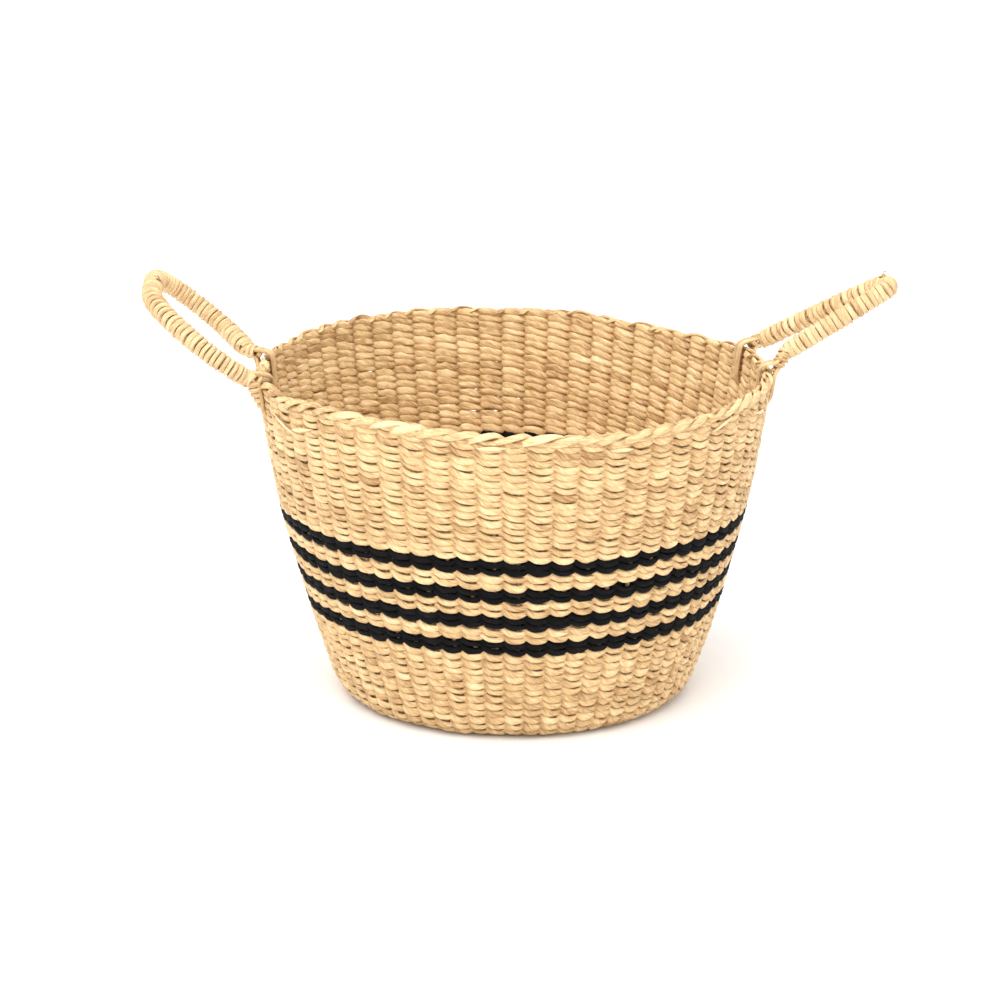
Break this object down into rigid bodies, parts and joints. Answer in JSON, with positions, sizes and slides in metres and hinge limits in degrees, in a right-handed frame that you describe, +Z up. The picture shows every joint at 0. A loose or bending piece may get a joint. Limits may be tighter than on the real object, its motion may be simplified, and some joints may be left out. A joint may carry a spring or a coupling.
{
  "type": "woven market basket",
  "caption": "Round tapered market basket twined from straw-coloured leaf over upright stakes, with black woven stripes and two hinged wrapped rope handles.",
  "frame": {"origin": "centre of the flat base on its underside, where the basket stands", "axes": "+Z up along the axis of the round basket; the handles lie towards -X and +X, and -Y faces the viewer"},
  "size_m": [0.5282, 0.3598, 0.2996],
  "materials": {
    "natural_straw": "matte twined leaf strand",
    "black_straw": "matte dyed twined leaf strand",
    "stake_grass": "matte grass stems",
    "leaf_wrap": "satin flat leaf strip",
    "rope_strands": "satin twisted strands"
  },
  "bodies": {
    "basket": {"base_start": "natural_straw", "base_inner_ring": "natural_straw", "base_outer_ring": "natural_straw", "heel_band": "natural_straw", "lower_wall_band": "natural_straw", "black_stripe_1": "black_straw", "black_stripe_2": "black_straw", "black_stripe_3": "black_straw", "black_stripe_4": "black_straw", "natural_band_1": "natural_straw", "natural_band_2": "natural_straw", "natural_band_3": "natural_straw", "upper_wall_band": "natural_straw", "shoulder_band": "natural_straw", "rim_border": "natural_straw", "stakes_main": "stake_grass", "stakes_added": "stake_grass", "handle_left_loop_front": "rope_strands", "handle_left_loop_back": "rope_strands", "handle_right_loop_front": "rope_strands", "handle_right_loop_back": "rope_strands"},
    "handle_left": {"handle_left_core": "rope_strands", "handle_left_wrap": "leaf_wrap", "handle_left_tip_knot": "leaf_wrap"},
    "handle_right": {"handle_right_core": "rope_strands", "handle_right_wrap": "leaf_wrap", "handle_right_tip_knot": "leaf_wrap"}
  },
  "joints": [
    {"name": "handle_left_hinge", "type": "hinge", "parent": "basket", "child": "handle_left", "pos_m": [-0.18506, -0.00937, 0.2364], "axis": [-0.0506, 0.9986, 0.0175], "range_deg": [-80.8, 62.2]},
    {"name": "handle_right_hinge", "type": "hinge", "parent": "basket", "child": "handle_right", "pos_m": [0.18308, 0.03393, 0.2392], "axis": [0.1805, -0.9742, 0.1357], "range_deg": [-65.4, 77.6]}
  ]
}
